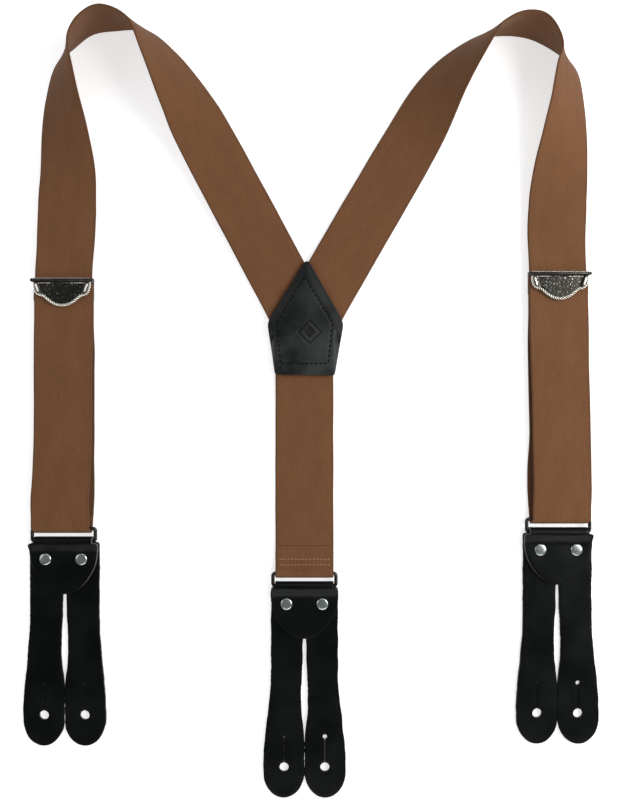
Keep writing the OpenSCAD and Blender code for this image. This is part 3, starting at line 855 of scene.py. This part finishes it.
def button_hole(sign, nick, cut, seed):
    """A button hole, the slit above it and the nick that ends the slit."""
    hole = []
    for a in range(86, -267, -12):
        r = HOLE_R + 0.12 * noise.noise(Vector((a * 0.05, sign, seed)))
        hole.append((r * math.cos(math.radians(a)), r * math.sin(math.radians(a)) - HOLE_V))
    low, high = -HOLE_V + HOLE_R + 0.5, -NICK_V - nick - 0.9
    hole += [(-0.03, s) for s in np.linspace(low, high, 9)]
    hole += [(-nick * math.sin(math.radians(a)), -NICK_V - nick * math.cos(math.radians(a)))
             for a in range(12, 350, 24)]
    hole += [(0.03, s) for s in np.linspace(high, low, 9)]
    return [(HOLE_X * sign + hx, s + cut) for hx, s in hole]


def roughly_cut(p, seed):
    """A point of the outline, a little off the line as a knife leaves it."""
    if -7 < p.y < FOLD + 6 or (abs(p.x) < 0.9 and p.y > -100):
        return p
    coarse = noise.noise(Vector((p.x * 0.11, p.y * 0.11, seed)))
    fine = noise.noise(Vector((p.x * 0.7, p.y * 0.7, seed + 5)))
    off = 0.38 * coarse + 0.2 * fine
    return Vector((p.x + off * (1 if p.x > 0 else -1), p.y, 0))


def near(px, s, centre_x, centre_s, size):
    return math.exp(-((px - centre_x) ** 2 + (s - centre_s) ** 2) / size ** 2)


def tab_point(px, s, n):
    """Where a point of the cut leather lies, about the ring's lower bar. n is measured
    from the face that ends up inside the fold."""
    if s <= 0:
        swell = 0.18 * noise.noise(Vector((px * 0.06, s * 0.05, 2.5)))
        lift = 0.35 * rise(-s, 60, 138) * abs(px) / 27
        z = HIDE_T - n + (swell + lift) * (0.2 + 0.8 * rise(-s, 40, 60))
        return (px, s, max(z, 0.0))
    if s < FOLD:
        angle = math.radians(-90 + 180 * s / FOLD)
        r = TURN_IN + n * (1 - 0.36 * math.cos(angle) ** 2)
        return (px, r * math.cos(angle), r * math.sin(angle) + BAR_Z)
    v = s - FOLD
    ripple = 1.9 * noise.noise(Vector((px * 0.09, 4.2, 0.3)))
    bulge = math.exp(-(px / 7.5) ** 2) * 1.3
    lay = rise(v, 0.6, 7.4 + ripple + bulge)
    z = HIDE_T + 0.06 + 2.74 * (1 - lay) + n
    dimple = sum(near(px, v, sx * RIVET_X, RIVET_V, 5.2) for sx in (-1, 1))
    z -= 0.28 * dimple * n / HIDE_T
    z += 0.22 * math.exp(-(px / 6) ** 2) * rise(v, 5, 9) * (1 - rise(v, 12, 22)) * n / HIDE_T
    return (px, -v, z)


def tint(piece, weight):
    """Set a piece's raw edge share from weight(x, y, z, share), in millimetres."""
    layer = piece.data.attributes["raw_edge"].data
    for vertex, item in zip(piece.data.vertices, layer):
        px, py, pz = vertex.co / MM
        item.value = weight(px, py, pz, item.value)


def build_tab(side, leather):
    """A button tab: one piece of leather folded over the ring's lower bar."""
    x, bar_y = BARS[side]
    low_y = bar_y - RING_DROP

    def place(px, s, n):
        ax, ay, az = tab_point(px, s, n)
        crumple = 0.05 * noise.noise(Vector(((ax + x) * 0.16, ay * 0.16, 1.0)))
        return (x + ax, low_y + ay, max(0.0, az + crumple))

    tab = sheet_piece(f"{side}_tab_leather", tab_loops(side), place, HIDE_T, leather,
                      spacing=1.9, rounding=0.4)
    inner = SIDE.get(side, 0)

    def pale(px, py, pz, raw):
        """Only the flap's inner side edge shows its raw core; slits are dyed."""
        on_flap = pz > HIDE_T + 0.3 and py > low_y - FLAP_TIP - 1
        beside = 1 if abs(px - x) > TAB["half"] + 1 and py < low_y - 60 else 0
        return raw * (rise(inner * (px - x), 7, 16) if on_flap else 0.35 * beside)

    tint(tab, pale)
    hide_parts(f"{side}_tab")
    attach(tab, f"{side}_button_tab")


def build_rivets(side, nickel):
    """Domed rivet caps on the flap and flat stud heads under the tab."""
    x, bar_y = BARS[side]
    y = bar_y - RING_DROP - RIVET_V
    caps, studs = Soup(), Soup()
    dome = [(0.01, 1.12), (1.0, 1.11), (2.0, 1.07), (2.8, 1.0), (3.3, 0.88), (3.6, 0.7),
            (3.8, 0.46), (3.9, 0.22), (3.94, 0.05), (3.9, -0.1)]
    head = [(0.01, 0.02), (2.4, 0.0), (3.1, 0.08), (3.4, 0.3), (3.3, 0.6), (0.01, 0.62)]
    for sx in (-1, 1):
        caps.lathe(Vector((x + sx * RIVET_X, y, 2 * HIDE_T + 0.02)), dome + [(0.01, -0.12)])
        studs.lathe(Vector((x + sx * RIVET_X, y, 0)), head)
    cap = caps.piece(f"{side}_rivet_domes", nickel, "nickel")
    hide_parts(f"{side}_rivet_caps")
    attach(cap, f"{side}_button_tab")
    stud = studs.piece(f"{side}_rivet_backs", nickel, "nickel")
    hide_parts(f"{side}_rivet_studs")
    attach(stud, f"{side}_button_tab")


def build_ring(side, metal):
    """A rectangle of bent wire: the corners at the upper bar, then at the lower one."""
    x, bar_y = BARS[side]
    reach = RING_HALF - RING_CORNER
    top, low = bar_y - RING_CORNER, bar_y + RING_CORNER - RING_DROP
    path = []
    for cx, cy, start in ((reach, top, 0), (-reach, top, 90), (-reach, low, 180), (reach, low, 270)):
        for a in range(0, 91, 15):
            angle = math.radians(start + a)
            path.append((x + cx + RING_CORNER * math.cos(angle),
                         cy + RING_CORNER * math.sin(angle), BAR_Z))
    rod = Soup()
    path = resample(path, 2.2)
    rod.tube(path, WIRE_R, 16, closed=True)
    ring = rod.piece(f"{side}_wire_ring", metal, "dark_metal")
    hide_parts(f"{side}_ring")
    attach(ring, f"{side}_ring_link")


# ------------------------------------------------------------------ adjusters
ROPE_LINE = [(17.9, -1.4), (17.7, -4.2), (17.2, -6.6), (16.2, -8.3), (14.6, -9.2), (12.8, -9.7),
             (11.2, -10.5), (9, -12.4), (6.5, -14.2), (3.6, -15.6), (0, -16.2)]
ROPE_Z, ROPE_STEP = -0.5, 0.22


def lever_edge(inward):
    """The lever's outline from one upper end to the other, moved inward."""
    half = curve_through([(-a, b) for a, b in ROPE_LINE], 5)
    line = half + [(-a, b) for a, b in reversed(half[:-1])]
    result = []
    for i, (a, b) in enumerate(line):
        before, after = line[max(0, i - 1)], line[min(len(line) - 1, i + 1)]
        way = Vector((after[0] - before[0], after[1] - before[1])).normalized()
        result.append((a - way.y * inward, b + way.x * inward))
    return result


def rope_path():
    """The lever's edge in equal steps, short enough for the rope's twist."""
    return even_path([(a, b, 0) for a, b in lever_edge(0)], ROPE_STEP)


def pivot_of(side):
    """Middle of the lever's axis."""
    return Vector((BARS[side][0], PIVOT_Y[side], PIVOT_Z))


def build_cover(side, plate):
    """The domed, engraved cover with a raised flange along each side."""
    pivot = pivot_of(side)
    outline = [(a, min(b, -1.1), 0) for a, b in lever_edge(0.55)]

    def place(px, py, n):
        reach = max(abs(px) / 17, -py / 16)
        z = -1.5 + n
        if n > 0.6:
            inner = 15.2 + 0.27 * py
            flange = 1.3 * rise(abs(px), inner, inner + 1.9) * rise(py, -10, -8.4)
            z += 0.15 + 0.5 * (1 - reach ** 2) - 0.2 * rise(-py, 2.2, 3.0) + flange
        return pivot + Vector((px, py, z))

    cover = sheet_piece(f"{side}_lever_cover", [resample(outline, 0.9)], place, 1.2, plate,
                        spacing=0.9, rounding=0.3)
    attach(cover, f"{side}_clamp")


def build_barrel(side, metal):
    """The barrel that turns on the pin, its row of teeth and the rope border's dark core."""
    pivot = pivot_of(side)
    barrel = Soup()
    length = [-19.0, -18.8, -18.5, -18.0, -17.9, -17.7]
    radii = [0.7, 1.0, 1.15, 1.2, 1.05, 1.15]
    xs = length + [-a for a in reversed(length)]
    barrel.tube([pivot + Vector((a, 0, 0)) for a in xs], radii + radii[::-1], 20)
    for i in range(15):
        a = (i - 7) * 2.4
        tooth = [[(a - 0.6, -0.6, -1.0), (a + 0.6, -0.6, -1.0), (a + 0.6, 0.6, -1.0),
                  (a - 0.6, 0.6, -1.0)],
                 [(a - 0.45, -0.2, -1.85), (a + 0.45, -0.2, -1.85), (a + 0.45, 0.15, -1.85),
                  (a - 0.45, 0.15, -1.85)]]
        barrel.loft([[pivot + Vector(p) for p in ring] for ring in tooth])
    barrel.tube([pivot + p + Vector((0, 0, ROPE_Z)) for p in rope_path()[::3]], 0.5, 8)
    rod = barrel.piece(f"{side}_lever_barrel", metal, "dark_metal", sharp=35)
    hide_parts(f"{side}_lever")
    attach(rod, f"{side}_clamp")


def build_rope(side, trim):
    """The twisted rope border, the bright beads along the barrel and the side strips."""
    pivot, line = pivot_of(side), rope_path()
    rope = Soup()
    strands, pitch, radius, off = 2, 3.1, 0.36, 0.58
    for k in range(strands):
        path = []
        for i, p in enumerate(line):
            way = (line[min(len(line) - 1, i + 1)] - line[max(0, i - 1)]).normalized()
            out = Vector((-way.y, way.x, 0))
            turn = 2 * math.pi * (i * ROPE_STEP / pitch + k / strands)
            path.append(pivot + p + out * (off * math.cos(turn))
                        + Vector((0, 0, ROPE_Z + off * math.sin(turn))))
        rope.tube(path, radius, 8)
    # The bead below the barrel is bright trim standing for the highlight line there: a painted
    # highlight.
    bead = [(-17.0 + 34.0 * i / 40, -1.9, 0.1) for i in range(41)]
    rope.tube([pivot + Vector(p) for p in bead],
              [0.16 + 0.14 * noise.noise(Vector((i * 0.9, 0.3, pivot.x))) for i in range(41)], 8)
    # The thin rod above the barrel is the frame's top edge made of bright trim: a real edge with a
    # painted highlight along it.
    rope.tube([pivot + Vector((-18.2 + 0.91 * i, 1.12, 0.1)) for i in range(41)], 0.2, 8)
    # The side strips are bright trim laid on the cover's flanges: a painted reflection of their
    # bevel.
    for sx in (-1, 1):
        bar(rope, pivot + Vector((sx * 16.6, -2.6, 0.95)), pivot + Vector((sx * 15, -7.6, 0.95)),
            1.1, 0.3)
    trimming = rope.piece(f"{side}_rope_border", trim, "bright_trim", sharp=60)
    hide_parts(f"{side}_lever_trim")
    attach(trimming, f"{side}_clamp")


def bar(soup, a, b, wide, high):
    """A flat bar with eased edges from a to b; wide and high are across its length."""
    a, b = Vector(a), Vector(b)
    way = (b - a).normalized()
    up = Vector((0, 0, 1)) if abs(way.z) < 0.9 else Vector((0, 1, 0))
    out = way.cross(up)
    ease = 0.3 * min(wide, high)
    w, h = wide / 2, high / 2
    ring = [(w, h - ease), (w - ease, h), (ease - w, h), (-w, h - ease),
            (-w, ease - h), (ease - w, -h), (w - ease, -h), (w, ease - h)]
    size = ease * 0.6
    steps = [(a, 1 - size / w), (a + way * size, 1), (b - way * size, 1), (b, 1 - size / w)]
    soup.loft([[p + (out * c + up * d) * k for c, d in ring] for p, k in steps])


def build_frame(side, metal):
    """The stamped frame that the lever turns in: rails, ears and two cross bars."""
    x, y = BARS[side][0], PIVOT_Y[side]
    soup = Soup()
    for ear_x in (x - 19.3, x + 19.3):
        bar(soup, (ear_x, y - 13, 3.6), (ear_x, y + 1.3, 3.6), 0.5, 1.9)
        bar(soup, (ear_x, y, 2.7), (ear_x, y, 10.2), 0.5, 2.2)
    bar(soup, (x - 19.5, y, 4.35), (x + 19.5, y, 4.35), 3, 1.5)
    bar(soup, (x - 19.5, y - 12.2, 3.05), (x + 19.5, y - 12.2, 3.05), 1.6, 0.9)
    piece = soup.piece(f"{side}_adjuster_plate", metal, "dark_metal")
    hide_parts(f"{side}_adjuster_frame")
    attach(piece, f"{side}_adjuster")


def build_pin(side, metal):
    """The lever's pin, with its ends spread over the ears."""
    pin = Soup()
    ends = [(-20.3, 0.5), (-20.2, 0.85), (-19.8, 0.95), (-19.6, 0.7), (19.6, 0.7), (19.8, 0.95),
            (20.2, 0.85), (20.3, 0.5)]
    pin.tube([pivot_of(side) + Vector((px, 0, 0)) for px, _ in ends], [r for _, r in ends], 16)
    rod = pin.piece(f"{side}_lever_pin", metal, "dark_metal")
    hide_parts(f"{side}_pivot_pin")
    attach(rod, f"{side}_adjuster")


# ------------------------------------------------------------------ stitches
def stitch(soup, a, b, top, radius):
    """One stitch between two needle holes, rising out of one and sinking into the other."""
    a, b = Vector(a), Vector(b)
    path = []
    for k in range(9):
        t = k / 8
        p = a.lerp(b, t)
        p.z = top(p.x, p.y) + radius * (1.5 * math.sin(math.pi * t) ** 0.6 - 0.9)
        path.append(p)
    soup.tube(path, radius, 8)


def web_rows(name, x, rows, radius, body, node, material):
    """Rows of tan stitches across webbing, each row given as (y, height)."""
    soup = Soup()
    for y, height in rows:
        for i in range(14):
            middle = x + (i - 6.5) * 2.4 + random.uniform(-0.08, 0.08)
            slant = random.uniform(0.05, 0.35)
            stitch(soup, (middle - 0.8, y - slant, 0), (middle + 0.8, y + slant, 0),
                   lambda px, py, h=height: h, radius)
    piece = soup.piece(name, material, "tan_thread")
    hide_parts(node)
    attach(piece, body)


# ------------------------------------------------------------------ patch
PATCH_CORNERS = [(2.9, 38.9), (25.6, -1), (19.7, -35.2), (-19.2, -34.6), (-24.2, -0.8),
                 (0.4, 38.9)]
PATCH_SEAM = [(0, 29), (18, -1.2), (15.4, -27.4), (-15.4, -27.4), (-18, -1.2)]
PATCH_Z = 4.8
LOZENGE_AT = (3, -7)


def rounded_outline(corners, radii, steps=6):
    """A polygon with its corners rounded."""
    result = []
    for i, c in enumerate(corners):
        c = Vector(c)
        before, after = Vector(corners[i - 1]), Vector(corners[(i + 1) % len(corners)])
        a, b = (before - c).normalized(), (after - c).normalized()
        reach = min(radii[i], (before - c).length / 2.2, (after - c).length / 2.2)
        for k in range(steps + 1):
            t = k / steps
            p = (c + a * reach).lerp(c, t).lerp(c.lerp(c + b * reach, t), t)
            result.append((p.x, p.y, 0))
    return result


def patch_outline():
    return resample(rounded_outline(PATCH_CORNERS, [1.2, 4, 2, 2, 4, 1.2]), 1.0)


def distance_to(loop, px, py):
    """Distance from a point to a closed line."""
    best = 1e9
    p = Vector((px, py))
    for a, b in zip(loop, loop[1:] + loop[:1]):
        a, b = Vector(a[:2]), Vector(b[:2])
        t = min(1, max(0, (p - a).dot(b - a) / (b - a).length_squared))
        best = min(best, (p - a.lerp(b, t)).length)
    return best


PATCH_LOOP = patch_outline()[::3]


def patch_top(px, py):
    """Height of the patch's upper face."""
    rim = distance_to(PATCH_LOOP, px, py)
    seam = distance_to(PATCH_SEAM, px, py)
    z = PATCH_Z + 1.2 + 0.5 * rise(rim, 0, 6)
    z += 1.5 * math.exp(-(px / 10) ** 2 - ((py - 7) / 14) ** 2)
    z += 0.5 * math.exp(-((px + 8) / 6) ** 2 - ((py + 19) / 6) ** 2)
    z += 0.5 * math.exp(-((px - 8) / 6) ** 2 - ((py + 19) / 6) ** 2)
    z -= 0.22 * math.exp(-(seam / 1.0) ** 2)
    z += 0.12 * noise.noise(Vector((px * 0.09, py * 0.09, 8)))
    return z - 0.75 * ornament(px, py)


def ornament(px, py):
    """The pressed lozenge with a line around it, 0 to 1."""
    reach = abs(px - LOZENGE_AT[0]) + abs(py - LOZENGE_AT[1])
    line = math.exp(-((reach - 7.4) / 0.75) ** 2)
    return max(1 - rise(reach, 3.4, 4.4), line)


def patch_sag(px, py):
    """How far the free margins bend down to the lining, clear of the straps."""
    beyond_back = rise(abs(px), 19.2, 22)
    below_strap = 1 - rise(py + 1.9 * (abs(px) - 19), -9, -1)
    return 2.9 * beyond_back * below_strap


def build_patch(leather):
    """The domed front of the patch and its lining."""
    outline = patch_outline()

    def place_front(px, py, n):
        z = patch_top(px, py) if n > 0.7 else PATCH_Z
        if 0 < n < 1.4:
            z = PATCH_Z + (patch_top(px, py) - PATCH_Z) * n / 1.4
        return (px, py, z - patch_sag(px, py))

    front = sheet_piece("patch_leather", [outline], place_front, 1.4, leather,
                        spacing=0.5, rounding=0.5)

    def darken(px, py, pz, raw):
        on_top = pz > PATCH_Z + 0.9
        return max(0.8 * raw, 0.9 * ornament(px, py) if on_top else 0)

    tint(front, darken)
    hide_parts("patch_front")
    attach(front, "harness")

    def place_lining(px, py, n):
        return (px, py, n)

    lining = sheet_piece("patch_backing", [outline], place_lining, 1.45, leather,
                         spacing=2.5, rounding=0.35)
    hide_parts("patch_lining")
    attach(lining, "harness")


def sew_patch(thread):
    """Saddle stitches along the seam, and the loose tail where the thread ends."""
    soup = Soup()
    for a, b in zip(PATCH_SEAM, PATCH_SEAM[1:] + PATCH_SEAM[:1]):
        a, b = Vector((*a, 0)), Vector((*b, 0))
        count = round((b - a).length / 3.2)
        way = (b - a) / count
        cross = Vector((-way.y, way.x, 0)).normalized()
        for k in range(count):
            start = a + way * (k + 0.27 + random.uniform(-0.07, 0.07))
            stop = a + way * (k + 0.73 + random.uniform(-0.07, 0.07))
            slant = cross * random.uniform(-0.25, 0.25)
            stitch(soup, start + slant, stop - slant, patch_top, 0.4)
    tail = [(-1.5, -27.4), (-0.4, -28.0), (0.9, -27.5), (1.8, -28.3)]
    path = [(px, py, patch_top(px, py) + 0.25) for px, py in curve_through(tail, 4)]
    soup.tube(path, [0.3 - 0.012 * i for i in range(len(path))], 6)
    stitches = soup.piece("patch_thread", thread, "black_thread")
    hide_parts("patch_stitching")
    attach(stitches, "harness")


# ------------------------------------------------------------------ stage
def add_light(name, place, size, power, aim=(0, 0, 0)):
    data = bpy.data.lights.new(name, "AREA")
    data.shape = "RECTANGLE"
    data.size, data.size_y = size
    data.energy = power
    light = bpy.data.objects.new(name, data)
    light.location = place
    light.rotation_euler = (Vector(aim) - Vector(place)).to_track_quat("-Z", "Y").to_euler()
    bpy.context.scene.collection.objects.link(light)


def add_stage():
    """Pale floor, softboxes on four sides with the strongest on the right, dim ceiling."""
    mesh = bpy.data.meshes.new("floor")
    reach = 4
    corners = [(-reach, -reach), (reach, -reach), (reach, reach), (-reach, reach)]
    mesh.from_pydata([(a, b, -0.0002) for a, b in corners], [], [(0, 1, 2, 3)])
    mesh.materials.append(floor_material())
    floor = bpy.data.objects.new("floor", mesh)
    bpy.context.scene.collection.objects.link(floor)
    floor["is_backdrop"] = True
    add_light("right_softbox", (0.7, 0.1, 0.6), (0.6, 0.6), 9.5)
    add_light("left_softbox", (-0.8, 0.1, 0.5), (0.6, 0.6), 2.5)
    add_light("far_softbox", (0.1, 1.2, 0.9), (1.2, 0.7), 4)
    add_light("near_softbox", (0.1, -1.1, 0.65), (1.2, 0.5), 6)
    world = bpy.data.worlds.new("world")
    world.use_nodes = True
    world.node_tree.nodes["Background"].inputs[0].default_value = (0.95, 0.97, 1.0, 1)
    world.node_tree.nodes["Background"].inputs[1].default_value = 0.2
    bpy.context.scene.world = world
    bpy.context.scene.view_settings.view_transform = "Standard"


# ------------------------------------------------------------------ everything
add_camera()
add_stage()

webbing = webbing_material("webbing", (0.164, 0.073, 0.033), (0.108, 0.048, 0.021),
                           (0.26, 0.15, 0.08))
# The return runs use the same webbing made darker: painted shade for the front run's shadow over
# them.
shaded_webbing = webbing_material("webbing_inside", (0.13, 0.06, 0.032), (0.085, 0.04, 0.02),
                                (0.2, 0.12, 0.08))
tab_leather = leather_material("tab_leather", (0.0008, 0.0014, 0.0012), (0.0022, 0.003, 0.0027),
                               (0.12, 0.12, 0.115), 0.36, 0.13)
# The patch's lighter second colour and its fade lighter towards the bottom are painted highlights on
# the dome.
patch_leather = leather_material("patch_leather", (0.0045, 0.006, 0.0055), (0.036, 0.04, 0.038),
                                 (0.0005, 0.0005, 0.0005), 0.42, 0.2, 0.00006, (0.03, -0.035))
black_thread = thread_material("black_thread", (0.001, 0.001, 0.001), (0.003, 0.003, 0.003))
tan_thread = thread_material("tan_thread", (0.2, 0.11, 0.06), (0.34, 0.21, 0.12))
dark_metal = metal_material("dark_metal", (0.06, 0.056, 0.05), (0.03, 0.028, 0.026), 0.34)
lever_plate = engraved_material("lever_plate", (0.032, 0.031, 0.026), (0.75, 0.72, 0.7))
bright_trim = metal_material("bright_trim", (0.9, 0.88, 0.8), (0.75, 0.72, 0.64), 0.25, 0.3,
                             metallic=0.5)
nickel = metal_material("nickel", (0.5, 0.54, 0.53), (0.36, 0.4, 0.39), 0.24, 0.3, 0.1)

build_patch(patch_leather)
sew_patch(black_thread)
build_back_strap(webbing)
for side in ("left", "right"):
    length = build_shoulder(side, webbing)
    length = build_front_run(side, webbing, length)
    length = build_ring_webbing(side, webbing, length)
    build_return(side, shaded_webbing, length)
    build_cover(side, lever_plate)
    build_barrel(side, dark_metal)
    build_rope(side, bright_trim)
    build_frame(side, dark_metal)
    build_pin(side, dark_metal)
    y = PIVOT_Y[side]
    web_rows(f"{side}_end_thread", BARS[side][0], [(y - 22, RETURN_Z), (y - 18.5, RETURN_Z)],
             0.25, f"{side}_adjuster", f"{side}_end_stitching", tan_thread)
for side in BARS:
    build_ring(side, dark_metal)
    build_tab(side, tab_leather)
    build_rivets(side, nickel)
web_rows("back_thread", 0, [(-154.7, 3.45), (-158.4, 3.5)], 0.36, "back_end",
         "back_end_stitching", tan_thread)

boxes = {"cad": cad_box, "visual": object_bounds()}
{k: [[float(c) for c in corner] for corner in v] for k, v in boxes.items()}
